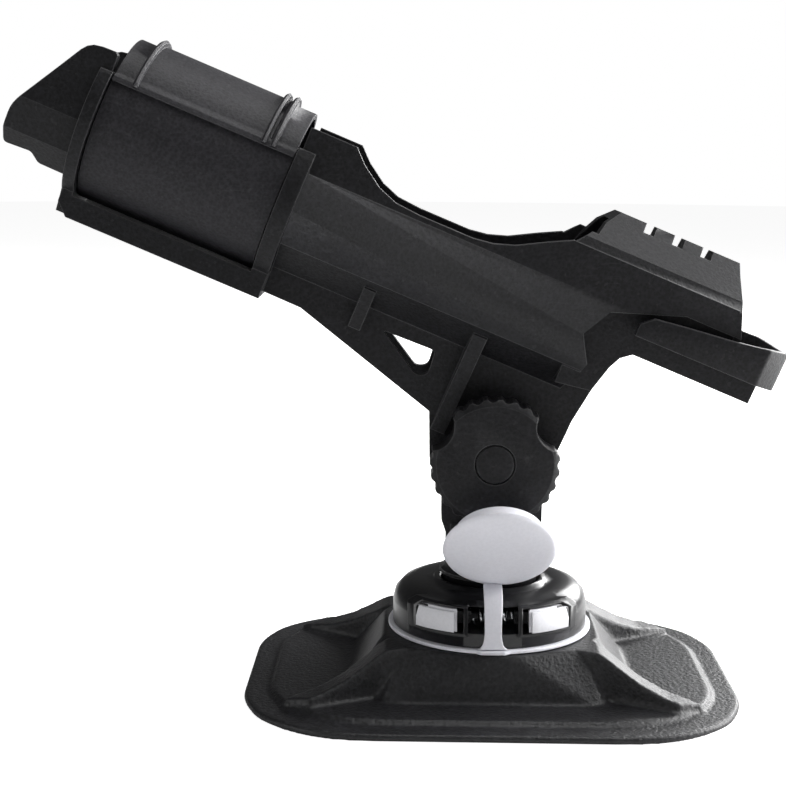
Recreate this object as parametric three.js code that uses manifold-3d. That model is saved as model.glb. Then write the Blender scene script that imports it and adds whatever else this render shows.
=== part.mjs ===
// Rod holder on a flexible pad: quick-release hub, tilting trough with a rotating lock collar and a rear bail.
// Millimetres, +Z up, origin at the centre of the pad's underside, +X along the pad's long side.
import * as THREE from 'three';
import { ConvexGeometry } from 'three/addons/geometries/ConvexGeometry.js';
import { mergeVertices } from 'three/addons/utils/BufferGeometryUtils.js';
import Module from 'manifold-3d';

const wasm = await Module();
wasm.setup();

// Driving dimensions
const gap = 0.35;            // clearance between neighbouring pieces
const padHalfX = 88.4;
const padHalfY = 67;
const padRim = 2.6;          // thickness of the pad's outer flange
const padFace = 4.2;         // height of the pad's inner surface
const padTop = 20.6;         // height of the hub platform on the pad
const hubR = 35.6;
const hubTop = 38.2;
const socketR = 17.6;
const ringT = 1.3;           // tether ring thickness
const pivotZ = 86.7;           // height of the tilt axis
const restTilt = 22.6;         // nose-up angle at rest, degrees
const postR = 16.6;          // round part of the post
const headR = 18.2;          // rounded eye of the post
const headHalf = 9;          // half thickness of the post's head
const earT = 3.6;
const knobR = 22.7;
const knobFace = 29.4;       // distance from the swivel axis to the knob's face
const axisH = 56.3;          // height of the tube axis above the tilt axis, square to the tube
const bore = 22.4;             // radius of the rod tube
const wallW = 26.5;          // half width of the trough outside
const wallTop = 81.7;
const collarR = 30.6;
const collarIn = 27.7;
const collarFrom = -171;
const collarTo = -104.8;
const collarGap = 52;        // half angle of the collar's slot
const collarRest = 128;      // where the slot points at rest, from the top towards the far side
const bailT = 2.6;

const rad = THREE.MathUtils.degToRad;

// Colours and roughness
const finish = {
  body: [0x1c1c1f, 0.62], base: [0x1f1f22, 0.72], gloss: [0x101012, 0.22], soft: [0xc4c4cb, 0.55],
  steel: [0xb9bcc2, 0.3], brass: [0xb08d4a, 0.35],
};

// ---- solids ----
function solid(geometry) {
  const g = geometry.clone();
  g.deleteAttribute('normal');
  if (g.attributes.uv) g.deleteAttribute('uv');
  const m = mergeVertices(g, 1e-4);
  return new wasm.Manifold(new wasm.Mesh({
    numProp: 3, vertProperties: new Float32Array(m.attributes.position.array), triVerts: new Uint32Array(m.index.array),
  }));
}

function join(...parts) {
  return parts.reduce((a, b) => a.add(b));
}

function cut(base, ...tools) {
  return tools.reduce((a, b) => a.subtract(b), base);
}

function toShape(points) {
  return new THREE.Shape(points.map(([x, y]) => new THREE.Vector2(x, y)));
}

// Rounds the corners of an outline; each point may carry its own radius as a third number.
function rounded(points, radius = 2, steps = 4) {
  const out = [];
  const n = points.length;
  points.forEach(([x, y, own], i) => {
    const p = new THREE.Vector2(x, y);
    const a = new THREE.Vector2(...points[(i + n - 1) % n].slice(0, 2)).sub(p);
    const b = new THREE.Vector2(...points[(i + 1) % n].slice(0, 2)).sub(p);
    const reach = Math.min(own ?? radius, a.length() * 0.45, b.length() * 0.45);
    if (reach < 0.05) { out.push([x, y]); return; }
    a.setLength(reach).add(p);
    b.setLength(reach).add(p);
    const curve = new THREE.QuadraticBezierCurve(a, p, b);
    curve.getPoints(steps).forEach((q) => out.push([q.x, q.y]));
  });
  return out;
}

function extrude(points, depth, bevel = 0) {
  return new THREE.ExtrudeGeometry(toShape(points), {
    depth: depth - 2 * bevel, bevelEnabled: bevel > 0, bevelSize: bevel, bevelThickness: bevel,
    bevelOffset: -bevel, bevelSegments: 1, curveSegments: 8,
  }).translate(0, 0, bevel);
}

// Plan outline (x, y) standing from z0 to z1
function plan(points, z0, z1, bevel = 0) {
  return solid(extrude(points, z1 - z0, bevel).translate(0, 0, z0));
}

// Side outline (x, z) running from y0 to y1
function side(points, y0, y1, bevel = 0) {
  return solid(extrude(points, y1 - y0, bevel).rotateX(Math.PI / 2).translate(0, y1, 0));
}

// Cross-section (y, z) running from x0 to x1
function section(points, x0, x1) {
  const turn = new THREE.Matrix4().set(0, 0, 1, x0, 1, 0, 0, 0, 0, 1, 0, 0, 0, 0, 0, 1);
  return solid(extrude(points, x1 - x0).applyMatrix4(turn));
}

function box(x0, x1, y0, y1, z0, z1) {
  const g = new THREE.BoxGeometry(x1 - x0, y1 - y0, z1 - z0);
  return solid(g.translate((x0 + x1) / 2, (y0 + y1) / 2, (z0 + z1) / 2));
}

// Turned profile (r, z) about +Z
function turned(profile, segments = 48) {
  const pts = profile.map(([r, z]) => new THREE.Vector2(r, z));
  pts.push(pts[0].clone());
  return solid(new THREE.LatheGeometry(pts, segments).rotateX(Math.PI / 2));
}

function rod(r, z0, z1, segments = 48) {
  return turned([[0, z0], [r, z0], [r, z1], [0, z1]], segments);
}

// The same turned profile laid along +X at the tube axis
function alongTube(profile, segments = 56) {
  return turned(profile, segments).rotate([0, 90, 0]).translate([0, 0, axisH]);
}

// The same turned profile laid along Y: profile z becomes -y (towards the knob)
function alongPivot(profile, segments = 40) {
  return turned(profile, segments).rotate([90, 0, 0]);
}

function mirrored(shape) {
  return shape.mirror([0, 1, 0]);
}

const group = new THREE.Group();
group.name = 'rod_holder';
const upright = new THREE.Matrix4();
const swung = new THREE.Matrix4().makeTranslation(0, 0, pivotZ);
const tilted = swung.clone().multiply(new THREE.Matrix4().makeRotationY(rad(restTilt)));

function add(name, shape, look, frame = upright) {
  const mesh = shape.getMesh();
  const g = new THREE.BufferGeometry();
  g.setAttribute('position', new THREE.BufferAttribute(new Float32Array(mesh.vertProperties), 3));
  g.setIndex(new THREE.BufferAttribute(new Uint32Array(mesh.triVerts), 1));
  g.applyMatrix4(frame);
  const flat = g.toNonIndexed();
  flat.computeVertexNormals();
  const [color, roughness] = finish[look];
  const metalness = look === 'steel' || look === 'brass' ? 0.9 : 0;
  const node = new THREE.Mesh(flat, new THREE.MeshStandardMaterial({ color, roughness, metalness }));
  node.name = name;
  group.add(node);
}

// ---- pad ----
function padOutline(inset) {
  const quarter = [[padHalfX, 31, 10], [81.5, 48.5, 7], [70.5, 58.8, 7], [58, 65.2, 7], [44, padHalfY, 8]];
  const shrink = ([x, y, r]) => [x * (1 - inset / padHalfX), y * (1 - inset / padHalfY), r];
  const q = quarter.map(shrink);
  const flip = (pts, sx, sy) => pts.map(([x, y, r]) => [x * sx, y * sy, r]);
  return rounded([...q, ...flip(q, -1, 1).reverse(), ...flip(q, -1, -1), ...flip(q, 1, -1).reverse()], 8, 5);
}

// Diagonal rib from the platform out to the pad's corner, flat on top and hollowed towards the tip
function padRib(sx, sy) {
  const quarter = [[12, 22], [30, 31], [63, 47.2], [73, 42], [52, 29.4], [40.5, 21], [18, 14]];
  const from = quarter.map(([x, y]) => [x * sx, y * sy]);
  const foot = plan(sx * sy > 0 ? from.slice().reverse() : from, 1, padTop);
  const fall = [[0, 1], [0, padTop], [37.6, padTop], [40.6, 18.9], [45.5, 15.6], [52, 11.6], [60, 8.2], [76, 4.8],
    [76, 1]];
  const slope = side(fall.map(([x, z]) => [x * sx, z]), -70, 70);
  return foot.intersect(slope);
}

function frustum() {
  const pts = [];
  for (const sx of [-1, 1]) {
    for (const sy of [-1, 1]) {
      const corner = [[39.5, 42.5, 2], [53, 26, 2], [31, 30.6, padTop], [39, 15, padTop]];
      pts.push(...corner.map(([x, y, z]) => [x * sx, y * sy, z]));
    }
  }
  for (let i = 0; i < 32; i += 1) pts.push([38.2 * Math.cos(i * Math.PI / 16), 38.2 * Math.sin(i * Math.PI / 16), padTop]);
  return solid(new ConvexGeometry(pts.map((p) => new THREE.Vector3(...p))));
}

function basePad() {
  let pad = join(plan(padOutline(0), 0, padRim, 0.7), plan(padOutline(9), 1, padFace, 1.2), frustum());
  for (const sx of [-1, 1]) for (const sy of [-1, 1]) pad = pad.add(padRib(sx, sy));
  return cut(pad, rod(29, 13, 30), screwHoles(3.8, 9, 20));
}

// ---- hub ----
const screwAngles = [45, 135, 225, 315];
function around(angle, r) {
  return [r * Math.cos(rad(angle)), r * Math.sin(rad(angle)), 0];
}

function screwHoles(r, z0, z1) {
  return screwAngles.map((a) => rod(r, z0, z1, 16).translate(around(a, 25.4))).reduce((a, b) => a.add(b));
}

function hubScrew(angle) {
  const head = turned([[0, 9.4], [3, 9.4], [3.4, 10.2], [3.4, 13], [0, 13]], 20);
  const hex = rod(1.5, 8, 11, 6);
  return cut(join(head, rod(1.7, 12, 32, 16)), hex).translate(around(angle, 25.4));
}

function padInsert() {
  const plate = turned([[0, 13.4], [28.6, 13.4], [28.6, 20.4], [17, 20.4], [17, 18.6], [0, 18.6]]);
  return cut(plate, screwHoles(2.1, 10, 25));
}

const hubFoot = padTop + 0.3 + ringT + 0.3;
const windowW = 18.2;
const buttonFrom = [-28.5, 28.5 - windowW];
const buttonW = 15.4;
function hubHousing() {
  const shell = turned([[0, hubFoot], [hubR, hubFoot], [hubR, 30.5], [34.8, 33.8], [32.4, 36.4], [28.6, 37.8],
    [24, hubTop], [21, hubTop], [20.4, hubTop + 1], [18.6, hubTop + 1], [socketR, hubTop + 0.2],
    [socketR, 26], [0, 26]], 64);
  const frames = buttonFrom.map((x) => box(x - 1.6, x + windowW + 1.6, -38, -20, 26.4, 37.2));
  const front = turned([[0, 22.6], [36.9, 24.4], [36.9, 34.6], [33.2, 37.6], [0, 37.6]], 64);
  const raised = frames.map((f) => f.intersect(front));
  const windows = buttonFrom.map((x) => box(x, x + windowW, -45, -24.6, 27.6, 36.2));
  const middle = box(-8.8, 8.8, -45, -24.6, 27.6, 36.4);
  const tunnel = box(-13.5, 13.5, -30, -25, 29.4, 34.6);
  const keyway = box(-2.4, 2.4, 28, 45, 31, 45);
  return cut(join(shell, ...raised), rod(socketR, 26, 45, 48), ...windows, middle, tunnel, keyway,
    screwHoles(2.1, 20, 32.4));
}

function pushButton(s) {
  const from = s < 0 ? buttonFrom[0] + 0.5 : buttonFrom[1] + 2.3;
  const cap = box(from, from + buttonW, -45, -25.2, 28.1, 35.7);
  const front = turned([[0, 20], [37.9, 25], [38.2, 31.5], [35.9, 37], [0, 40]], 72);
  const bevel = turned([[0, 20], [36.7, 20], [36.7, 30], [34.2, 40], [0, 40]], 72);
  const face = cap.intersect(join(front.intersect(box(from + 1, from + buttonW - 1, -60, 0, 20, 35)), bevel));
  const stem = box(s < 0 ? from + buttonW - 1.5 : 7.6, s < 0 ? -7.6 : from + 1.5, -29.6, -25.4, 29.8, 34.2);
  const nib = turned([[0, -8.5], [1.7, -8.5], [1.7, -5.2], [0, -5.2]], 14).rotate([0, 90, 0])
    .translate([0, -28.2, 32]);
  return join(face, stem, s < 0 ? nib : nib.mirror([1, 0, 0]));
}

function lockSpring() {
  const turns = 5;
  const half = 6.9;
  const points = [];
  for (let i = 0; i <= turns * 10; i += 1) {
    const a = (i / 10) * Math.PI * 2;
    points.push(new THREE.Vector3(-half + (2 * half * i) / (turns * 10), -28.2 + 2.6 * Math.cos(a), 32 + 2.6 * Math.sin(a)));
  }
  const wire = toShape(Array.from({ length: 6 }, (_, i) => [0.5 * Math.cos(i * Math.PI / 3), 0.5 * Math.sin(i * Math.PI / 3)]));
  const path = new THREE.CatmullRomCurve3(points);
  return solid(new THREE.ExtrudeGeometry(wire, { steps: turns * 12, extrudePath: path, bevelEnabled: false }));
}

// ---- tether with its cap ----
const strapHalf = 3.3;
function tetherRing() {
  const z0 = padTop + 0.3;
  const ring = turned([[30, z0], [37.3, z0], [37.3, z0 + ringT], [30, z0 + ringT]], 72);
  const foot = [[-6.4, -36.6], [6.4, -36.6], [4.2, -38.4], [-4.2, -38.4]];
  return join(ring, plan(foot.reverse(), z0, z0 + ringT));
}

// The strap stands on the ring's lip, follows the hub's front and lies over its shoulder
function tetherStrap() {
  const t = 1.4;
  const outer = hubR + gap + t;
  const z0 = padTop + 0.3 + ringT + 0.25;
  const line = [[-outer, z0], [-outer, 31.4], [-outer + 0.9, 35.6], [-outer + 3.4, 39.2], [-outer + 6.8, 40.9],
    [-26.6, 41.2]];
  const inner = [[-26.6, 39.9], [-outer + 7.2, 39.5], [-outer + 4.6, 38], [-outer + 2.2, 35], [-outer + t, 31.2],
    [-outer + t, z0]];
  const across = side([...line, ...inner].map(([y, z]) => [y, z]), -10, 10).rotate([0, 0, -90]).mirror([0, 1, 0]);
  const waist = [[-4.9, z0], [-3.6, z0 + 1.6], [-2.9, 28], [-strapHalf, 41], [strapHalf, 41], [2.9, 28], [3.6, z0 + 1.6],
    [4.9, z0]];
  return across.intersect(side(waist.reverse(), -60, 0));
}

const capLean = 37;
const capHinge = [1.8, -25.3, 41.4];
// Cap in its own frame: hinge edge at the origin, disc rising along +Z, outer face towards -Y
function socketCap() {
  const disc = turned([[0, 0], [18.9, 0], [19.8, 0.5], [19.8, 1.5], [19.2, 2], [0, 2]], 56);
  const plug = turned([[0, 1.8], [16, 1.8], [16, 7.2], [15.2, 8], [12.8, 8], [12.8, 3.2], [0, 3.2]], 48);
  const tab = box(-strapHalf, strapHalf, 17, 20.1, 0.2, 1.6);
  return join(disc, plug, tab).rotate([-90, 0, 0]).translate([0, 0, 20]).rotate([capLean, 0, 0])
    .translate(capHinge);
}

// ---- post ----
function post() {
  const stem = turned([[0, 26.5], [socketR - 0.4, 26.5], [socketR - 0.4, 30], [socketR - 1.8, 31],
    [socketR - 1.8, 34], [socketR - 0.4, 35], [socketR - 0.4, 40.9], [postR + 1.9, 41.2], [postR + 1.9, 42.4],
    [postR, 44], [postR, 60], [0, 60]], 48).translate([0, 0, -pivotZ]);
  const cheek = [[-postR + 0.4, -31], [postR - 0.4, -31], [headR, -25], [headR, 0]];
  for (let i = 1; i < 12; i += 1) cheek.push([headR * Math.cos(i * Math.PI / 12), headR * Math.sin(i * Math.PI / 12)]);
  cheek.push([-headR, 0], [-headR, -25]);
  const head = side(cheek, -headHalf + 1.6, headHalf - 1.6);
  return cut(join(stem, head), alongPivot([[0, -30], [4.3, -30], [4.3, 30], [0, 30]], 24));
}

// Toothed index disc between the post's head and an ear
function indexDisc(s) {
  const t0 = headHalf - 1.6 + 0.3;
  const t1 = headHalf - 0.1;
  const ring = turned([[4.4, t0], [16.8, t0], [16.8, t1], [4.4, t1]], 36);
  const teeth = [];
  for (let i = 0; i < 18; i += 1) {
    teeth.push(box(9, 17.6, -0.9, 0.9, t0 + 0.2, t1 + 0.25).rotate([0, 0, i * 20]));
  }
  const disc = join(ring, ...teeth).rotate([90, 0, 0]);
  return s < 0 ? disc : mirrored(disc);
}

// ---- clamp ----
// Grip outline: a notched circle; the three finger bites are cut from the solid
function gripOutline() {
  const n = 108;
  return Array.from({ length: n }, (_, i) => {
    const a = (i / n) * Math.PI * 2;
    const r = i % 4 < 2 ? knobR : knobR - 0.9;
    return [r * Math.cos(a), r * Math.sin(a)];
  });
}

const earOut = headHalf + 0.5 + earT;
const biteAngles = [30, 150, 270].map((a) => a + restTilt);
function clampKnob() {
  const z0 = earOut + 0.4;
  const grip = solid(extrude(gripOutline(), knobFace - z0 - 2.4).translate(0, 0, z0 + 2.4));
  const dome = turned([[0, z0], [15.6, z0], [knobR + 1, z0 + 6], [knobR + 1, knobFace - 2.2], [knobR - 2.2, knobFace],
    [7.1, knobFace], [7.1, knobFace - 1.6], [0, knobFace - 1.6]], 48);
  const boss = turned([[0, z0], [13.4, z0], [13.8, z0 + 3], [0, z0 + 3]], 40);
  const bites = biteAngles.map((a) => rod(8.6, 0, 60, 32).translate([26.3 * Math.cos(rad(a)), 26.3 * Math.sin(rad(a)), 0]));
  return cut(join(grip.intersect(dome), boss), ...bites, rod(5.9, z0 + 4, knobFace - 1, 6), rod(4.3, 0, 60, 24))
    .rotate([90, 0, 0]);
}

function knobNut() {
  return cut(rod(5.5, earOut + 4.8, earOut + 11.4, 6), rod(3.9, 0, 60, 24)).rotate([90, 0, 0]);
}

function knobCap() {
  return alongPivot([[0, knobFace - 1.3], [6.7, knobFace - 1.3], [6.7, knobFace - 0.1], [6.2, knobFace + 0.2],
    [0, knobFace + 0.2]], 40);
}

function clampBolt() {
  const shank = rod(3.5, -earOut - 1.7, knobFace - 3.2, 24);
  const head = cut(rod(6.4, -earOut - 6, -earOut - 1.7, 6), rod(2.2, -earOut - 8, -earOut - 4.4, 6));
  return join(shank, head).rotate([90, 0, 0]);
}

function washer(z0, r) {
  return alongPivot([[3.9, z0], [r, z0], [r, z0 + 1], [3.9, z0 + 1]], 32);
}

// ---- holder ----
const wallProfile = [[-wallW, 110], [-wallW, 67], [-27.2, 53.2], [-23, 41.2], [-12.6, 31.2], [12.6, 31.2],
  [23, 41.2], [27.2, 53.2], [wallW, 67], [wallW, 110]];

function noseShell() {
  const outline = rounded([[-172, 32.8], [-172, 79.2], [-182.3, 78.9, 4], [-200, 49.3, 3], [-200.6, 41.6, 2],
    [-200, 35.6, 1.5], [-189.8, 36.2, 1], [-186.8, 33.1, 1]], 2, 3);
  return side(outline.reverse(), -32, 32).intersect(section(wallProfile, -204, -172));
}

function neckShell() {
  return alongTube([[0, -174], [collarIn - 0.45, -174], [collarIn - 0.45, -100], [0, -100]]);
}

// Raised ribs on the collar's grip panel
const ribStarts = [collarFrom + 7.2, collarTo - 12.2, collarTo - 8.8];
const ribR = collarR + 2.2;

// Upright flange at either end of the collar
function flange(x0, x1, top) {
  const disc = alongTube([[0, x0], [32.2, x0], [32.2, x1], [0, x1]], 64);
  const lower = box(x0 - 1, x1 + 1, -40, 40, 10, top);
  const foot = section([[-12, 20], [12, 20], [21, 38], [-21, 38]], x0, x1);
  return join(disc.intersect(lower), foot);
}

const keelHalf = 16.6;
// Bar under the collar, low enough for the collar's ribs to pass over it
function keelBar() {
  const bar = side([[-171, 19.6], [-98.4, 19.6], [-98.4, 38], [-175.4, 38], [-175.4, 24]].reverse(), -keelHalf, keelHalf);
  const r = ribR + 0.5;
  return cut(bar, alongTube([[0, collarFrom - 0.4], [r, collarFrom - 0.4], [r, collarTo + 0.4], [0, collarTo + 0.4]], 64));
}

function troughShell() {
  const line = [[-103, 31.2], [-103, wallTop], [-86.4, wallTop], [-81.6, 77.1], [-74, 72], [-67, 69.5], [-58, 68.8],
    [-38, 68.8], [-31, 69.8], [-23.8, 72.2], [-14, 77.6], [-6, wallTop], [56, wallTop], [56, 72.8], [40, 72.8],
    [15.3, 64], [9.7, 53.7], [15.7, 44.1], [12, 31.2]];
  return side(line.reverse(), -32, 32).intersect(section(wallProfile, -106, 80));
}

// Hood over the rod's butt: sloping flanks and a narrow ridge cut by three slightly skewed slots
const slotSkew = 6;
function hoodShell() {
  const flank = [[-wallW, 66], [-wallW, 80.8], [-24.7, 84.9], [-10.4, 96.6], [10.4, 96.6], [24.7, 84.9],
    [wallW, 80.8], [wallW, 66]];
  const outline = [[-6, 70], [-6, wallTop - 0.9], [7, 96.7], [52.2, 96.7], [53.4, 92], [57, 81], [60.4, 72.8], [20, 72.8]];
  const hood = section(flank, -12, 72).intersect(side(outline.reverse(), -32, 32));
  const slot = side([[-1.9, 93.2], [1.9, 93.2], [1.9, 110], [-1.9, 110]].reverse(), -22, 22).rotate([0, 0, -slotSkew]);
  const slots = [19.6, 30.4, 41.2].map((x) => slot.translate([x, 0, 0]));
  return cut(hood, ...slots);
}

function tailShell() {
  const waist = [[8, 34], [20.8, 36], [23.4, 46], [25.4, 50.4], [29, 53.3], [72.8, 53.3], [72.8, 61.2], [60, 62.2],
    [58, 76], [8, 76]];
  return side(waist.reverse(), -22.4, 22.4);
}

// Space for the rod: tube, open top, and the raised pocket under the hood
function rodSpace() {
  const tube = alongTube([[0, -210], [bore, -210], [bore, 5], [13, 22], [0, 22]], 56);
  const top = side([[-210, axisH], [-9, axisH], [3.2, 93], [-210, 110]], -bore, bore);
  const pocket = section([[-19.4, 58.4], [19.4, 58.4], [20, 81], [8, 93], [-8, 93], [-20, 81]], 10, 100);
  const throat = section([[-bore, axisH], [bore, axisH], [bore, 79], [8, 93], [-8, 93], [-bore, 79]], -12, 11);
  return join(tube, top, pocket, throat);
}

function collarSlot() {
  return section([[-17.6, 66], [17.6, 66], [17.6, 90], [-17.6, 90]], -172.4, -102);
}

function ear(s) {
  const outline = [[-98.4, 36], [-98.4, 22.2], [-83.6, 22], [-70.7, 18.2], [-27.4, 5.8], [-20.8, -9.4], [-16, -14],
    [-8, -17.4], [0, -18.4], [8, -16.8], [14.6, -11.4], [19, -3], [20.4, 12], [20.6, 22.4], [22.8, 38]];
  const y0 = s * (headHalf + 0.5);
  const plate = side(outline.slice().reverse(), Math.min(y0, s * earOut), Math.max(y0, s * earOut));
  const hole = side(rounded([[-54, 26], [-33.8, 26.6], [-33, 17.8], [-36.8, 15.8]], 2, 4).reverse(), -20, 20);
  return cut(plate, hole, alongPivot([[0, -30], [4.1, -30], [4.1, 30], [0, 30]], 24));
}

// Gusset between an ear and the trough's lower facet
function gusset(x0, x1, low, s) {
  const web = [[earOut - 1, low], [earOut + 1.6, low], [21, 38], [19, 40], [earOut - 1, 36]];
  return section(web.map(([y, z]) => [y * s, z]), x0, x1);
}

function holderBody() {
  const webs = [];
  for (const s of [-1, 1]) {
    webs.push(gusset(-65.7, -61.3, 22.8, s), gusset(-24.6, -19.3, 0.4, s), ear(s));
  }
  const shell = join(noseShell(), neckShell(), flange(-175.8, -171.4, 72.6), flange(-104.3, -98.2, 73.9), troughShell(),
    hoodShell(), tailShell());
  const hollow = cut(shell, rodSpace(), collarSlot());
  const lower = join(hollow, keelBar(), ...webs, box(-104, -96, -12.6, 12.6, 22.2, 33));
  return cut(lower, bailBores());
}

function lockCollar() {
  const band = (r0, r1, x0, x1) => alongTube([[r0, x0], [r1, x0], [r1, x1], [r0, x1]], 72);
  const shell = band(collarIn, collarR - 0.9, collarFrom, collarTo);
  const panel = band(collarIn, collarR, collarFrom + 8.6, collarTo - 9.4).intersect(box(-200, -90, -40, 40, 71, 110));
  const ledge = band(collarIn, collarR + 0.3, collarFrom, collarTo).intersect(box(-200, -90, -40, 40, 70.2, 72.6));
  const ribs = ribStarts.map((x) => alongTube([[collarIn, x], [ribR - 0.6, x], [ribR, x + 0.8], [ribR - 0.6, x + 1.7],
    [collarIn, x + 1.7]], 72)
    .intersect(box(-200, -90, -40, 40, 71, 110)));
  const a = rad(collarGap);
  const wedge = section([[0, 0], [80 * Math.sin(a), 80 * Math.cos(a)], [0, 120], [-80 * Math.sin(a), 80 * Math.cos(a)]],
    collarFrom - 1, collarTo + 1).rotate([-collarRest, 0, 0]).translate([0, 0, axisH]);
  return cut(join(shell, panel, ledge, ...ribs), wedge);
}

// ---- rear bail ----
const bailPivot = [30.6, 63.4];
const bailSideY = 27.5;
function bailBores() {
  return side(circle(bailPivot, 2.1, 20), -40, 40);
}

function circle([cx, cz], r, n) {
  return Array.from({ length: n }, (_, i) => [cx + r * Math.cos((i * 2 * Math.PI) / n),
    cz + r * Math.sin((i * 2 * Math.PI) / n)]);
}

function rearBail() {
  const outline = [[25.7, 60.2], [25.7, 64.6], [29.9, 68.2], [41.9, 69.8], [59, 71.8], [71, 73.8], [79, 74.6],
    [79, 60.5]];
  const loop = plan(rounded([[20, -bailSideY - bailT], [70.6, -bailSideY - bailT, 1], [79, -21.6, 2], [79, 21.6, 2],
    [70.6, bailSideY + bailT, 1], [20, bailSideY + bailT]], 1, 3), 50, 95);
  const inside = plan([[10, -bailSideY], [69.2, -bailSideY], [76.2, -20.2], [76.2, 20.2], [69.2, bailSideY],
    [10, bailSideY]], 40, 100);
  const bail = cut(loop, inside).intersect(side(outline.slice().reverse(), -40, 40));
  const blind = bailSideY + bailT - 0.9;
  return cut(bail, side(circle(bailPivot, 2.1, 20), -blind, blind));
}

// Pin with a flange inside the hood's wall; its tip stops inside the arm
function bailPin(s) {
  const tip = bailSideY + bailT - 1.2;
  const pin = turned([[0, 17.8], [3, 17.8], [3, 19], [1.75, 19], [1.75, tip - 0.4], [1.35, tip], [0, tip]], 20)
    .rotate([90, 0, 0]);
  return (s < 0 ? pin : mirrored(pin)).translate([bailPivot[0], 0, bailPivot[1]]);
}

// ---- assembly ----
add('base_pad', basePad(), 'base');
add('pad_insert', padInsert(), 'body');
add('hub_housing', hubHousing(), 'gloss');
screwAngles.forEach((a, i) => add(`hub_screw_${i + 1}`, hubScrew(a), 'steel'));
add('button_left', pushButton(-1), 'soft');
add('button_right', pushButton(1), 'soft');
add('lock_spring', lockSpring(), 'steel');
add('tether_ring', tetherRing(), 'soft');
add('tether_strap', tetherStrap(), 'soft');
add('socket_cap', socketCap(), 'soft');
add('swivel_post', post(), 'body', swung);
add('index_disc_near', indexDisc(-1), 'body', swung);
add('index_disc_far', indexDisc(1), 'body', swung);
add('holder_body', holderBody(), 'body', tilted);
add('lock_collar', lockCollar(), 'body', tilted);
add('rear_bail', rearBail(), 'body', tilted);
add('bail_pin_near', bailPin(-1), 'body', tilted);
add('bail_pin_far', bailPin(1), 'body', tilted);
add('clamp_knob', clampKnob(), 'body', tilted);
add('knob_cap', knobCap(), 'body', tilted);
add('knob_nut', knobNut(), 'brass', tilted);
add('clamp_bolt', clampBolt(), 'steel', tilted);
add('washer_far', washer(-earOut - 1.35, 7.4), 'steel', tilted);

export default group;
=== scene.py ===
# Rod holder on a glue-down pad: swivel post in a push-button hub, tilting tube with lock collar and bail
import math
import bpy
import numpy as np
from mathutils import Matrix, Vector


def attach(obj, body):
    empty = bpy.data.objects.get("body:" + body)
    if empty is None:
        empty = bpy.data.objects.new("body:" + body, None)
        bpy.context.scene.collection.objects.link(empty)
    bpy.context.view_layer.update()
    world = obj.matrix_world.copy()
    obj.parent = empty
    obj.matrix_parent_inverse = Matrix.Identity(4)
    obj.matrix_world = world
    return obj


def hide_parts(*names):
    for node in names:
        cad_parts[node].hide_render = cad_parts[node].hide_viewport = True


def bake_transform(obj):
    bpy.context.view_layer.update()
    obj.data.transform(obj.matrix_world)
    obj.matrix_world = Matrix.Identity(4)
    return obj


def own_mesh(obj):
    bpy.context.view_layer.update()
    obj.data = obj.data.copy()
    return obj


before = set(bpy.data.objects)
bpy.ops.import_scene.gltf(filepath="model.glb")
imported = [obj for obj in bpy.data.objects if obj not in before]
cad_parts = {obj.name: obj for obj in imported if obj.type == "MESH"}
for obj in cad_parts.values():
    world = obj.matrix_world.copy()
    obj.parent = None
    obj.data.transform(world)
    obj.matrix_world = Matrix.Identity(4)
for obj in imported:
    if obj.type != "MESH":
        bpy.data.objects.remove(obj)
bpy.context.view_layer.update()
mm = 0.001
mergeDistance = 0.01 * mm


def clearSelection():
    if bpy.context.object and bpy.context.object.mode != "OBJECT":
        bpy.ops.object.mode_set(mode="OBJECT")
    bpy.ops.object.select_all(action="DESELECT")


def pick(piece):
    clearSelection()
    piece.select_set(True)
    bpy.context.view_layer.objects.active = piece


def editAll():
    bpy.ops.object.mode_set(mode="EDIT")
    bpy.ops.mesh.select_mode(type="VERT")
    bpy.ops.mesh.select_all(action="SELECT")


# Turns every face outwards and leaves edit mode
def closeEdit():
    bpy.ops.mesh.select_all(action="SELECT")
    bpy.ops.mesh.normals_make_consistent(inside=False)
    bpy.ops.object.mode_set(mode="OBJECT")


# A new piece with one point, in millimetres, left in edit mode to be extruded
def startFromPoint(name, x, y, z):
    clearSelection()
    bpy.ops.mesh.primitive_plane_add(size=mm)
    piece = bpy.context.object
    piece.name = name
    editAll()
    bpy.ops.mesh.merge(type="CENTER")
    bpy.ops.transform.translate(value=(x * mm, y * mm, z * mm))
    return piece


def extrudeBy(x, y, z):
    bpy.ops.mesh.extrude_region_move(TRANSFORM_OT_translate={"value": (x * mm, y * mm, z * mm)})


def applyModifiers(piece):
    pick(piece)
    for modifier in list(piece.modifiers):
        bpy.ops.object.modifier_apply(modifier=modifier.name)


def addBevel(piece, width, segments, angle):
    edge = piece.modifiers.new("edge", "BEVEL")
    edge.width = width * mm
    edge.segments = segments
    edge.angle_limit = math.radians(angle)


def smoothByAngle(piece, angle):
    pick(piece)
    bpy.ops.object.shade_smooth_by_angle(angle=math.radians(angle))


def place(piece, matrix):
    piece.matrix_world = matrix
    pick(piece)
    bpy.ops.object.transform_apply(location=True, rotation=True, scale=True)


def giveMaterial(piece, material):
    piece.data.materials.clear()
    piece.data.materials.append(material)


# A piece without a body is left without a parent
def finishPiece(piece, body, material, node):
    giveMaterial(piece, material)
    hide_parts(node)
    if body:
        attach(piece, body)


# A merged copy of a CAD node with its flat faces joined up, ready for smoothing and edge work
def moulded(node, name, flatten=0.6):
    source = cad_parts[node]
    piece = bpy.data.objects.new(name, source.data.copy())
    bpy.context.scene.collection.objects.link(piece)
    pick(piece)
    editAll()
    bpy.ops.mesh.remove_doubles(threshold=mergeDistance)
    bpy.ops.mesh.dissolve_limited(angle_limit=math.radians(flatten))
    bpy.ops.object.mode_set(mode="OBJECT")
    return piece


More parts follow.
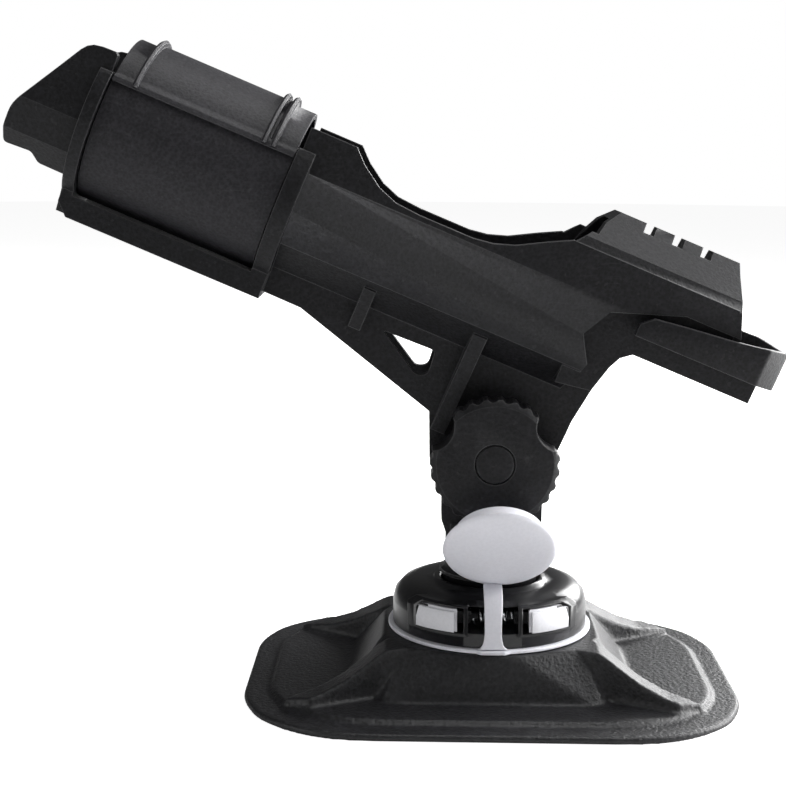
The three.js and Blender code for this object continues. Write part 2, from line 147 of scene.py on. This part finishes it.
# A closed profile of (radius, height) pairs turned about Z
def turnedPiece(name, profile, steps):
    firstRadius, firstHeight = profile[0]
    piece = startFromPoint(name, firstRadius, 0, firstHeight)
    for (r0, z0), (r1, z1) in zip(profile, profile[1:]):
        extrudeBy(r1 - r0, 0, z1 - z0)
    bpy.ops.mesh.select_all(action="SELECT")
    bpy.ops.mesh.spin(steps=steps, angle=math.tau, center=(0, 0, 0), axis=(0, 0, 1))
    bpy.ops.mesh.select_all(action="SELECT")
    bpy.ops.mesh.remove_doubles(threshold=mergeDistance)
    closeEdit()
    return piece


def addNode(tree, kind, **settings):
    node = tree.nodes.new(kind)
    for key, value in settings.items():
        if key in node.inputs:
            node.inputs[key].default_value = value
        else:
            setattr(node, key, value)
    return node


def mathNode(tree, operation, first, second=None):
    node = addNode(tree, "ShaderNodeMath", operation=operation)
    for index, value in enumerate((first, second)):
        if value is None:
            continue
        if isinstance(value, (int, float)):
            node.inputs[index].default_value = value
        else:
            tree.links.new(value, node.inputs[index])
    return node.outputs[0]


def blendColours(tree, factor, first, second):
    node = addNode(tree, "ShaderNodeMix", data_type="RGBA")
    factorIn, firstIn, secondIn = node.inputs[0], node.inputs[6], node.inputs[7]
    for socket, value in ((factorIn, factor), (firstIn, first), (secondIn, second)):
        if isinstance(value, (int, float, tuple)):
            socket.default_value = value
        else:
            tree.links.new(value, socket)
    return node.outputs[2]


# Lengths in metres, angles in radians
cameraSettings = {
    "place": (-0.02487, -0.56832, 0.20095),
    "yaw": -0.0199,
    "pitch": 0.1641,
    "roll": 0.0065,
    "lens": 72.63,
    "sensor": 36,
    "near": 0.02,
    "far": 20,
}


def makeCamera():
    data = bpy.data.cameras.new("camera")
    data.lens = cameraSettings["lens"]
    data.sensor_width = cameraSettings["sensor"]
    data.clip_start = cameraSettings["near"]
    data.clip_end = cameraSettings["far"]
    item = bpy.data.objects.new("camera", data)
    bpy.context.scene.collection.objects.link(item)
    yaw, pitch, roll = (cameraSettings[key] for key in ("yaw", "pitch", "roll"))
    level = math.cos(pitch)
    ahead = Vector((math.sin(yaw) * level, math.cos(yaw) * level, -math.sin(pitch)))
    right = Vector((math.cos(yaw), -math.sin(yaw), 0))
    up = right.cross(ahead)
    across = right * math.cos(roll) + up * math.sin(roll)
    over = up * math.cos(roll) - right * math.sin(roll)
    turn = Matrix((across, over, -ahead)).transposed().to_4x4()
    item.matrix_world = Matrix.Translation(Vector(cameraSettings["place"])) @ turn
    bpy.context.scene.camera = item


studioSettings = {
    "backdrop": 1.0,      # brightness of the room behind the object
    "fill": 0.08,         # light that the room throws on the object
    "floorTone": 0.8,
    "floorLift": 0.88,    # glow that keeps the floor as pale as the room
    "floorRadius": 4,
    "floorRough": 0.8,
    "floorSpecular": 0.1,
    "lights": [
        # name, place, aim, size, watts
        ("rightPanel", (1.1, 0.2, 0.25), (0.0, 0, 0.13), (0.5, 0.8), 26),
        ("topPanel", (0.25, 0.05, 1.2), (0.0, 0, 0.1), (0.7, 0.7), 9),
        ("backPanel", (0.75, 1.0, 0.5), (0.0, 0, 0.08), (0.7, 0.6), 20),
        ("frontPanel", (0.35, -1.0, 0.85), (0.0, 0, 0.1), (0.8, 0.5), 1.0),
        ("leftPanel", (-1.0, -0.6, 0.45), (0.0, 0, 0.12), (0.4, 0.5), 3.2),
        ("floorPanel", (0.6, 0.0, 0.4), (0.55, 0, 0.0), (0.4, 0.4), 5.5),
    ],
}


def makeRoom():
    world = bpy.data.worlds.new("paleRoom")
    world.use_nodes = True
    tree = world.node_tree
    background = tree.nodes["Background"]
    background.inputs["Color"].default_value = (1, 1, 1, 1)
    path = addNode(tree, "ShaderNodeLightPath")
    level = addNode(tree, "ShaderNodeMapRange")
    level.inputs["To Min"].default_value = studioSettings["fill"]
    level.inputs["To Max"].default_value = studioSettings["backdrop"]
    tree.links.new(path.outputs["Is Camera Ray"], level.inputs["Value"])
    tree.links.new(level.outputs["Result"], background.inputs["Strength"])
    bpy.context.scene.world = world
    bpy.context.scene.view_settings.view_transform = "Standard"


def makeLights():
    for name, spot, aim, size, watts in studioSettings["lights"]:
        data = bpy.data.lights.new(name, "AREA")
        data.shape = "RECTANGLE"
        data.size, data.size_y = size
        data.energy = watts
        lamp = bpy.data.objects.new(name, data)
        lamp.location = spot
        lamp.rotation_euler = (Vector(aim) - Vector(spot)).to_track_quat("-Z", "Y").to_euler()
        bpy.context.scene.collection.objects.link(lamp)


def makeFloor():
    clearSelection()
    bpy.ops.mesh.primitive_circle_add(vertices=96, radius=studioSettings["floorRadius"], fill_type="NGON")
    floor = bpy.context.object
    floor.name = "floor"
    paint = bpy.data.materials.new("paleFloor")
    paint.use_nodes = True
    tree = paint.node_tree
    shader = tree.nodes["Principled BSDF"]
    tone = studioSettings["floorTone"]
    shader.inputs["Base Color"].default_value = (tone, tone, tone, 1)
    shader.inputs["Roughness"].default_value = studioSettings["floorRough"]
    shader.inputs["Specular IOR Level"].default_value = studioSettings["floorSpecular"]
    shader.inputs["Emission Color"].default_value = (1, 1, 1, 1)
    seen = addNode(tree, "ShaderNodeLightPath")
    lift = mathNode(tree, "MULTIPLY", seen.outputs["Is Camera Ray"], studioSettings["floorLift"])
    tree.links.new(lift, shader.inputs["Emission Strength"])
    giveMaterial(floor, paint)


makeCamera()
makeRoom()
makeLights()
makeFloor()
print("stage: camera, lights and floor")


def newGroup(name, inputs, outputs):
    group = bpy.data.node_groups.new(name, "ShaderNodeTree")
    for label, kind, value in inputs:
        socket = group.interface.new_socket(label, in_out="INPUT", socket_type=kind)
        if value is not None:
            socket.default_value = value
    for label, kind in outputs:
        group.interface.new_socket(label, in_out="OUTPUT", socket_type=kind)
    return group, group.nodes.new("NodeGroupInput"), group.nodes.new("NodeGroupOutput")


# Shares are of the fine grain's own scale
grainSettings = {
    "fineWeight": 0.6,
    "pebbleWeight": 0.5,
    "pebbleShare": 0.55,
    "speckShare": 0.3,
    "speckAbove": 0.71,
    "scratchTurn": (0.3, 0.5, 0.7),
    "scratchStretch": (30, 900, 900),
    "scratchThinness": 60.0,
    "scratchAbove": 0.56,
    "heightLow": 0.38,
    "heightHigh": 0.72,
}


# Moulded grain: a pebbled height, a slow cloudy tone, a few hairline scratches and stray specks
def makeGrainGroup():
    group, source, result = newGroup(
        "mouldGrain",
        [("Vector", "NodeSocketVector", None), ("Fine", "NodeSocketFloat", 2600.0),
         ("Broad", "NodeSocketFloat", 45.0)],
        [("Height", "NodeSocketFloat"), ("Cloud", "NodeSocketFloat"),
         ("Scratch", "NodeSocketFloat"), ("Speck", "NodeSocketFloat")],
    )
    link = group.links.new
    vector, fineScale = source.outputs["Vector"], source.outputs["Fine"]

    fine = addNode(group, "ShaderNodeTexNoise", Detail=3.0, Roughness=0.6)
    link(vector, fine.inputs["Vector"])
    link(fineScale, fine.inputs["Scale"])
    pebble = addNode(group, "ShaderNodeTexVoronoi", feature="SMOOTH_F1", Smoothness=0.7)
    link(vector, pebble.inputs["Vector"])
    link(mathNode(group, "MULTIPLY", fineScale, grainSettings["pebbleShare"]), pebble.inputs["Scale"])
    fineHeight = mathNode(group, "MULTIPLY", fine.outputs["Fac"], grainSettings["fineWeight"])
    pebbleHeight = mathNode(group, "MULTIPLY", pebble.outputs["Distance"], grainSettings["pebbleWeight"])
    link(mathNode(group, "ADD", fineHeight, pebbleHeight), result.inputs["Height"])

    cloud = addNode(group, "ShaderNodeTexNoise", Detail=4.0, Roughness=0.55, Distortion=0.4)
    link(vector, cloud.inputs["Vector"])
    link(source.outputs["Broad"], cloud.inputs["Scale"])
    link(cloud.outputs["Fac"], result.inputs["Cloud"])

    stretch = addNode(group, "ShaderNodeMapping")
    stretch.inputs["Rotation"].default_value = grainSettings["scratchTurn"]
    stretch.inputs["Scale"].default_value = grainSettings["scratchStretch"]
    link(vector, stretch.inputs["Vector"])
    lines = addNode(group, "ShaderNodeTexNoise", Scale=1.0, Detail=2.0)
    link(stretch.outputs["Vector"], lines.inputs["Vector"])
    away = mathNode(group, "ABSOLUTE", mathNode(group, "SUBTRACT", lines.outputs["Fac"], 0.5))
    falloff = mathNode(group, "MULTIPLY", away, grainSettings["scratchThinness"])
    thin = mathNode(group, "MAXIMUM", mathNode(group, "SUBTRACT", 1.0, falloff), 0.0)
    rare = mathNode(group, "GREATER_THAN", cloud.outputs["Fac"], grainSettings["scratchAbove"])
    link(mathNode(group, "MULTIPLY", thin, rare), result.inputs["Scratch"])

    dots = addNode(group, "ShaderNodeTexNoise", Detail=1.0)
    link(vector, dots.inputs["Vector"])
    link(mathNode(group, "MULTIPLY", fineScale, grainSettings["speckShare"]), dots.inputs["Scale"])
    speck = mathNode(group, "GREATER_THAN", dots.outputs["Fac"], grainSettings["speckAbove"])
    link(speck, result.inputs["Speck"])
    return group


# Rounded normals along hard edges and a mask of where those edges are
def makeEdgeGroup():
    group, source, result = newGroup(
        "softEdge",
        [("Radius", "NodeSocketFloat", 0.0005), ("Gain", "NodeSocketFloat", 6.0)],
        [("Mask", "NodeSocketFloat"), ("Normal", "NodeSocketVector")],
    )
    link = group.links.new
    rounding = addNode(group, "ShaderNodeBevel", samples=6)
    link(source.outputs["Radius"], rounding.inputs["Radius"])
    surface = addNode(group, "ShaderNodeNewGeometry")
    compare = addNode(group, "ShaderNodeVectorMath", operation="DOT_PRODUCT")
    link(rounding.outputs["Normal"], compare.inputs[0])
    link(surface.outputs["Normal"], compare.inputs[1])
    away = mathNode(group, "SUBTRACT", 1.0, compare.outputs["Value"])
    mask = mathNode(group, "MINIMUM", mathNode(group, "MULTIPLY", away, source.outputs["Gain"]), 1.0)
    link(mask, result.inputs["Mask"])
    link(rounding.outputs["Normal"], result.inputs["Normal"])
    return group


grainGroup = makeGrainGroup()
edgeGroup = makeEdgeGroup()

# colour, cloud and pebble set the tone; fine and broad are grain scales; depths and radii are in millimetres
# The edge tone settings paint a pale highlight along hard edges, partly rubbed wear
finishes = {
    "bodyMoulding": dict(
        colour=(0.0054, 0.0054, 0.0064), cloud=1.5, pebble=0.55, fine=1500.0, broad=38.0,
        rough=0.5, roughSpread=0.14, specular=0.26, bump=0.8, bumpDepth=0.2,
        edgeRadius=0.5, edgeGain=26.0, edgePolish=0.06, wear=0.75, highlightAndWearGain=2.4, highlightAndWearLift=0.055, marks=0.12),
    "collarMoulding": dict(
        colour=(0.0135, 0.013, 0.0155), cloud=1.35, pebble=0.4, fine=1600.0, broad=34.0,
        rough=0.56, roughSpread=0.12, specular=0.3, bump=0.7, bumpDepth=0.18,
        edgeRadius=0.45, edgeGain=16.0, edgePolish=0.06, wear=0.8, highlightAndWearGain=2.0, highlightAndWearLift=0.05, marks=0.12),
    "knobMoulding": dict(
        colour=(0.0052, 0.0052, 0.0061), cloud=1.5, pebble=0.5, fine=1400.0, broad=60.0,
        rough=0.47, roughSpread=0.12, specular=0.26, bump=0.8, bumpDepth=0.2,
        edgeRadius=0.7, edgeGain=14.0, edgePolish=0.08, wear=0.8, highlightAndWearGain=2.4, highlightAndWearLift=0.06, marks=0.1),
    "padSkin": dict(
        colour=(0.0064, 0.0064, 0.0074), cloud=1.5, pebble=0.6, fine=1250.0, broad=26.0,
        rough=0.46, roughSpread=0.14, specular=0.4, bump=1.0, bumpDepth=0.28,
        edgeRadius=0.8, edgeGain=14.0, edgePolish=0.05, wear=0.7, highlightAndWearGain=2.2, highlightAndWearLift=0.04, marks=0.14),
    "hubGloss": dict(
        colour=(0.0065, 0.0065, 0.0075), cloud=1.3, pebble=0.2, fine=900.0, broad=70.0,
        rough=0.3, roughSpread=0.1, specular=0.35, bump=0.05, bumpDepth=0.05, coat=0.1, coatRough=0.12,
        edgeRadius=0.6, edgeGain=5.0, edgePolish=0.03, wear=0.5, highlightAndWearGain=2.6, highlightAndWearLift=0.03, marks=0.1),
    "greyElastomer": dict(
        colour=(0.64, 0.64, 0.685), cloud=1.07, pebble=0.025, fine=1500.0, broad=60.0,
        rough=0.5, roughSpread=0.1, soft=0.15, softReach=(0.003, 0.0026, 0.0024), softScale=0.5,
        bump=0.12, bumpDepth=0.06,
        edgeRadius=0.4, edgeGain=5.0, edgePolish=0.04, wear=0.3, highlightAndWearGain=1.12, highlightAndWearLift=0.02, marks=0.05),
    "buttonPlastic": dict(
        colour=(0.63, 0.63, 0.66), cloud=1.05, pebble=0.03, fine=1800.0, broad=90.0,
        rough=0.5, roughSpread=0.1, specular=0.3, bump=0.1, bumpDepth=0.05,
        edgeRadius=0.4, edgeGain=5.0, edgePolish=0.05, wear=0.3, highlightAndWearGain=1.15, highlightAndWearLift=0.02, marks=0.05),
    "brightSteel": dict(
        colour=(0.56, 0.57, 0.59), cloud=1.15, pebble=0.08, fine=2500.0, broad=160.0,
        rough=0.24, roughSpread=0.12, metal=1.0, bump=0.08, bumpDepth=0.03,
        edgeRadius=0.2, edgeGain=5.0, edgePolish=0.05, wear=0.3, highlightAndWearGain=1.3, highlightAndWearLift=0.02, marks=0.25),
    "turnedBrass": dict(
        colour=(0.55, 0.39, 0.16), cloud=1.2, pebble=0.1, fine=2500.0, broad=160.0,
        rough=0.3, roughSpread=0.12, metal=1.0, bump=0.08, bumpDepth=0.03,
        edgeRadius=0.2, edgeGain=5.0, edgePolish=0.05, wear=0.3, highlightAndWearGain=1.3, highlightAndWearLift=0.02, marks=0.25),
}


def tinted(colour, gain, lift=0.0):
    return tuple(min(1, channel * gain + lift) for channel in colour) + (1,)


def makeFinish(name, look):
    material = bpy.data.materials.new(name)
    material.use_nodes = True
    tree = material.node_tree
    link = tree.links.new
    shader = tree.nodes["Principled BSDF"]
    coordinates = addNode(tree, "ShaderNodeTexCoord")
    grain = addNode(tree, "ShaderNodeGroup", node_tree=grainGroup)
    grain.inputs["Fine"].default_value = look["fine"]
    grain.inputs["Broad"].default_value = look["broad"]
    link(coordinates.outputs["Object"], grain.inputs["Vector"])
    edge = addNode(tree, "ShaderNodeGroup", node_tree=edgeGroup)
    edge.inputs["Radius"].default_value = look["edgeRadius"] * mm
    edge.inputs["Gain"].default_value = look["edgeGain"]

    # cloudy tone, darker in the hollows of the grain
    dark, light = tinted(look["colour"], 1), tinted(look["colour"], look["cloud"])
    tone = blendColours(tree, grain.outputs["Cloud"], dark, light)
    contrast = addNode(tree, "ShaderNodeMapRange")
    contrast.inputs["From Min"].default_value = grainSettings["heightLow"]
    contrast.inputs["From Max"].default_value = grainSettings["heightHigh"]
    contrast.inputs["To Min"].default_value = 1.0 - look["pebble"]
    contrast.inputs["To Max"].default_value = 1.0 + look["pebble"]
    link(grain.outputs["Height"], contrast.inputs["Value"])
    scaled = addNode(tree, "ShaderNodeVectorMath", operation="SCALE")
    link(tone, scaled.inputs[0])
    link(contrast.outputs["Result"], scaled.inputs["Scale"])

    # painted edge highlights that are partly rubbed wear, then scratches and specks
    # The pale edge tone is a painted highlight for light catching the hard edges, partly rubbed wear;
    # scratches and specks take the same pale tone
    highlightAndWearTone = tinted(look["colour"], look["highlightAndWearGain"], look["highlightAndWearLift"])
    highlitAndRubbed = mathNode(tree, "MULTIPLY", edge.outputs["Mask"], look["wear"])
    tone = blendColours(tree, highlitAndRubbed, scaled.outputs["Vector"], highlightAndWearTone)
    flaws = mathNode(tree, "ADD", grain.outputs["Scratch"], grain.outputs["Speck"])
    tone = blendColours(tree, mathNode(tree, "MULTIPLY", flaws, look["marks"]), tone, highlightAndWearTone)
    link(tone, shader.inputs["Base Color"])

    cloudOffset = mathNode(tree, "SUBTRACT", grain.outputs["Cloud"], 0.5)
    rough = mathNode(tree, "ADD", mathNode(tree, "MULTIPLY", cloudOffset, look["roughSpread"]), look["rough"])
    polish = mathNode(tree, "MULTIPLY", edge.outputs["Mask"], look["edgePolish"])
    link(mathNode(tree, "SUBTRACT", rough, polish), shader.inputs["Roughness"])
    bump = addNode(tree, "ShaderNodeBump", Strength=look["bump"], Distance=look["bumpDepth"] * mm)
    link(grain.outputs["Height"], bump.inputs["Height"])
    link(edge.outputs["Normal"], bump.inputs["Normal"])
    link(bump.outputs["Normal"], shader.inputs["Normal"])

    shader.inputs["Metallic"].default_value = look.get("metal", 0.0)
    shader.inputs["Specular IOR Level"].default_value = look.get("specular", 0.5)
    shader.inputs["Coat Weight"].default_value = look.get("coat", 0.0)
    shader.inputs["Coat Roughness"].default_value = look.get("coatRough", 0.1)
    if "soft" in look:
        shader.inputs["Subsurface Weight"].default_value = look["soft"]
        shader.inputs["Subsurface Radius"].default_value = look["softReach"]
        shader.inputs["Subsurface Scale"].default_value = look["softScale"]
    return material


paints = {name: makeFinish(name, look) for name, look in finishes.items()}
print("stage: finishes")

# Lengths in millimetres, rates as shares of the way to the neighbours' mean
padSettings = {
    "voxel": 0.79,
    "rounds": 6,
    "freshNormalsEvery": 4,
    "hollowRate": 0.7,
    "edgeRate": 0.0,
    "firstEdgeRate": 0.5,    # the first round alone takes the steps off the outer edges
    "keepBelow": 3.4,        # the flat flange stays as it is
    "fadeOver": 1.2,
}


# Lets the creases fill into moulded fillets while outer edges stay nearly crisp
def fillCreases(piece, settings):
    mesh = piece.data
    count = len(mesh.vertices)
    points = np.empty(count * 3)
    mesh.vertices.foreach_get("co", points)
    points = points.reshape(-1, 3)
    ends = np.empty(len(mesh.edges) * 2, dtype=int)
    mesh.edges.foreach_get("vertices", ends)
    a, b = ends[0::2], ends[1::2]
    degree = np.bincount(np.concatenate((a, b)), minlength=count)[:, None]
    raised = points[:, 2:3] - settings["keepBelow"] * mm
    freedom = np.clip(raised / (settings["fadeOver"] * mm), 0.0, 1.0)
    for turn in range(settings["rounds"]):
        if turn % settings["freshNormalsEvery"] == 0:
            mesh.vertices.foreach_set("co", points.ravel())
            mesh.update()
            normals = np.empty(count * 3)
            mesh.vertices.foreach_get("normal", normals)
            normals = normals.reshape(-1, 3)
        total = np.zeros_like(points)
        for axis in range(3):
            total[:, axis] = (np.bincount(a, weights=points[b, axis], minlength=count)
                              + np.bincount(b, weights=points[a, axis], minlength=count))
        pull = total / degree - points
        along = (pull * normals).sum(1, keepdims=True)
        edgeRate = settings["edgeRate"] if turn else settings["firstEdgeRate"]
        rate = np.where(along > 0, settings["hollowRate"], edgeRate)
        points = points + normals * along * rate * freedom
    mesh.vertices.foreach_set("co", points.ravel())
    mesh.update()


def makePad():
    piece = moulded("base_pad", "pad_skin")
    remesh = piece.modifiers.new("remesh", "REMESH")
    remesh.mode = "VOXEL"
    remesh.voxel_size = padSettings["voxel"] * mm
    applyModifiers(piece)
    fillCreases(piece, padSettings)
    pick(piece)
    bpy.ops.object.shade_smooth()
    finishPiece(piece, "base", paints["padSkin"], "base_pad")


makePad()
print("stage: pad")

# Lengths in millimetres, lean in degrees
capSettings = {
    "hinge": (1.8, -25.3, 41.4),
    "lean": 37,
    "reach": 20,
    # radius, depth behind the face
    "profile": [
        (0, -0.9), (5, -0.86), (9.5, -0.68), (13.5, -0.36), (16.4, 0.04), (18.6, 0.5), (19.5, 1.05),
        (19.8, 1.7), (19.5, 2.3), (18.7, 2.6), (16.7, 2.7), (16.25, 2.95), (16.1, 3.6), (16.05, 7.2),
        (15.8, 7.8), (15.2, 8.1), (13.9, 8.1), (13.2, 7.8), (12.95, 7.2), (12.85, 3.9), (12.5, 3.35),
        (11.8, 3.1), (0, 3.0),
    ],
    "steps": 128,
    "smoothAngle": 50,
}


def makeCap():
    piece = turnedPiece("cap_cover", capSettings["profile"], capSettings["steps"])
    hinge = Matrix.Translation(Vector(capSettings["hinge"]) * mm)
    lean = Matrix.Rotation(math.radians(capSettings["lean"]), 4, "X")
    stand = Matrix.Translation((0, 0, capSettings["reach"] * mm)) @ Matrix.Rotation(math.radians(-90), 4, "X")
    place(piece, hinge @ lean @ stand)
    smoothByAngle(piece, capSettings["smoothAngle"])
    finishPiece(piece, "cap", paints["greyElastomer"], "socket_cap")


# Millimetres, but metres for the two places bendFrom and bendTo
strapSettings = {
    "thickness": 1.4,
    "edge": 0.3,
    "edgeSteps": 2,
    "edgeAngle": 50,
    "subdivisions": 2,
    "bendFrom": (0, -0.0367, 0.0226),
    "bendTo": (0, -0.0367, 0.034),
    # y, z, half width from the ring up over the shoulder
    "path": [
        (-36.7, 22.5, 5.4), (-36.7, 22.9, 4.5), (-36.7, 23.8, 3.7), (-36.68, 25.4, 3.2),
        (-36.62, 28.4, 2.95), (-36.5, 31.4, 2.98), (-36.2, 34.0, 3.08), (-35.5, 36.5, 3.18),
        (-34.2, 38.8, 3.26), (-32.2, 40.5, 3.3), (-29.8, 41.5, 3.3), (-27.4, 42.0, 3.3), (-25.6, 42.6, 3.3),
    ],
}


def makeStrap():
    path = strapSettings["path"]
    y, z, half = path[0]
    piece = startFromPoint("tether_tongue", -half, y, z)
    extrudeBy(2 * half, 0, 0)
    bpy.ops.mesh.select_all(action="SELECT")
    for (y0, z0, h0), (y1, z1, h1) in zip(path, path[1:]):
        extrudeBy(0, y1 - y0, z1 - z0)
        bpy.ops.transform.resize(value=(h1 / h0, 1, 1), center_override=(0, y1 * mm, z1 * mm))
    closeEdit()
    wall = piece.modifiers.new("wall", "SOLIDIFY")
    wall.thickness = strapSettings["thickness"] * mm
    wall.offset = 0
    addBevel(piece, strapSettings["edge"], strapSettings["edgeSteps"], strapSettings["edgeAngle"])
    smooth = piece.modifiers.new("smooth", "SUBSURF")
    smooth.levels = smooth.render_levels = strapSettings["subdivisions"]
    applyModifiers(piece)
    bpy.ops.object.shade_smooth()
    finishPiece(piece, None, paints["greyElastomer"], "tether_strap")
    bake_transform(piece)


makeCap()
makeStrap()
print("stage: cap and tether strap")

# Millimetres: wire and coil are radii, half is the rest length of one half, press is a button's travel
springSettings = {
    "wire": 0.5,
    "coil": 2.6,
    "half": 6.9,
    "turns": 2.5,
    "axis": (-28.2, 32.0),
    "press": 1.8,
    "stepsPerTurn": 60,
    "smoothAngle": 50,
}


# The two halves meet behind the strap
def makeSpringHalf(name, side):
    y, z = (value * mm for value in springSettings["axis"])
    clearSelection()
    bpy.ops.mesh.primitive_circle_add(vertices=12, radius=springSettings["wire"] * mm, location=(0, y, z))
    piece = bpy.context.object
    piece.name = name
    editAll()
    bpy.ops.transform.translate(value=(0, springSettings["coil"] * mm, 0))
    bpy.ops.object.mode_set(mode="OBJECT")
    coil = piece.modifiers.new("coil", "SCREW")
    coil.axis = "X"
    coil.angle = side * math.tau * springSettings["turns"]
    coil.screw_offset = side * springSettings["half"] * mm
    coil.steps = coil.render_steps = springSettings["stepsPerTurn"]
    applyModifiers(piece)
    editAll()
    bpy.ops.mesh.remove_doubles(threshold=mergeDistance)
    bpy.ops.mesh.select_all(action="DESELECT")
    bpy.ops.mesh.select_non_manifold(extend=False)
    bpy.ops.mesh.fill_holes(sides=14)
    closeEdit()
    place(piece, piece.matrix_world.copy())
    smoothByAngle(piece, springSettings["smoothAngle"])
    finishPiece(piece, "base", paints["brightSteel"], "lock_spring")
    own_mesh(piece)


makeSpringHalf("spring_left", -1)
makeSpringHalf("spring_right", 1)
print("stage: spring")

# Pieces that keep their CAD form, by node: smooth is the smoothing angle in degrees, edge the width of the
# rounded edge in millimetres
mouldedPieces = {
    "hub_housing": dict(name="hub_shell", body="base", slot="hub", finish="hubGloss", smooth=30),
    "button_left": dict(name="push_left", body="left_button", slot="button", finish="buttonPlastic",
                        smooth=25, edge=0.5, darkStem=True),
    "button_right": dict(name="push_right", body="right_button", slot="button", finish="buttonPlastic",
                         smooth=25, edge=0.5, darkStem=True),
    "tether_ring": dict(name="tether_band", body="base", slot="elastomer", finish="greyElastomer",
                        smooth=35, edge=0.3),
    "swivel_post": dict(name="post_body", body="post", slot="moulding", finish="bodyMoulding", smooth=30),
    "index_disc_near": dict(name="ratchet_near", body="post", slot="moulding", finish="knobMoulding",
                            smooth=30),
    "index_disc_far": dict(name="ratchet_far", body="post", slot="moulding", finish="knobMoulding",
                           smooth=30),
    "holder_body": dict(name="tube_body", body="holder", slot="moulding", finish="bodyMoulding", smooth=13),
    "lock_collar": dict(name="collar_shell", body="collar", slot="moulding", finish="collarMoulding",
                        smooth=24),
    "rear_bail": dict(name="bail_loop", body="bail", slot="moulding", finish="bodyMoulding",
                      smooth=25, edge=0.35),
    "bail_pin_near": dict(name="pin_near", body="holder", slot="moulding", finish="bodyMoulding", smooth=30),
    "bail_pin_far": dict(name="pin_far", body="holder", slot="moulding", finish="bodyMoulding", smooth=30),
    "clamp_knob": dict(name="grip_knob", body="knob", slot="moulding", finish="knobMoulding",
                       smooth=26, edge=0.45),
    "knob_cap": dict(name="knob_disc", body="knob", slot="moulding", finish="knobMoulding",
                     smooth=30, edge=0.25),
    "knob_nut": dict(name="insert_nut", body="knob", slot="brass", finish="turnedBrass", smooth=30, edge=0.2),
    "clamp_bolt": dict(name="bolt", body="holder", slot="steel", finish="brightSteel", smooth=30, edge=0.3),
    "washer_far": dict(name="bolt_washer", body="holder", slot="steel", finish="brightSteel",
                       smooth=30, edge=0.15),
}
# A button's grey face is further out than these two places, in millimetres; the stem behind it is black
stemSettings = {"faceFrom": 12.4, "faceBack": -26.5}
roundedEdge = {"steps": 3, "fromAngle": 28}


def darkenStem(piece):
    piece.data.materials.append(paints["bodyMoulding"])
    for face in piece.data.polygons:
        inside = abs(face.center.x) < stemSettings["faceFrom"] * mm
        if inside or face.center.y > stemSettings["faceBack"] * mm:
            face.material_index = 1


def makeMoulded(node, settings):
    piece = moulded(node, settings["name"])
    if "edge" in settings:
        addBevel(piece, settings["edge"], roundedEdge["steps"], roundedEdge["fromAngle"])
        applyModifiers(piece)
    smoothByAngle(piece, settings["smooth"])
    finishPiece(piece, settings["body"], paints[settings["finish"]], node)
    if "darkStem" in settings:
        darkenStem(piece)


for node, settings in mouldedPieces.items():
    makeMoulded(node, settings)
giveMaterial(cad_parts["pad_insert"], paints["bodyMoulding"])
for number in range(1, 5):
    giveMaterial(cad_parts[f"hub_screw_{number}"], paints["brightSteel"])
print("stage: moulded pieces")
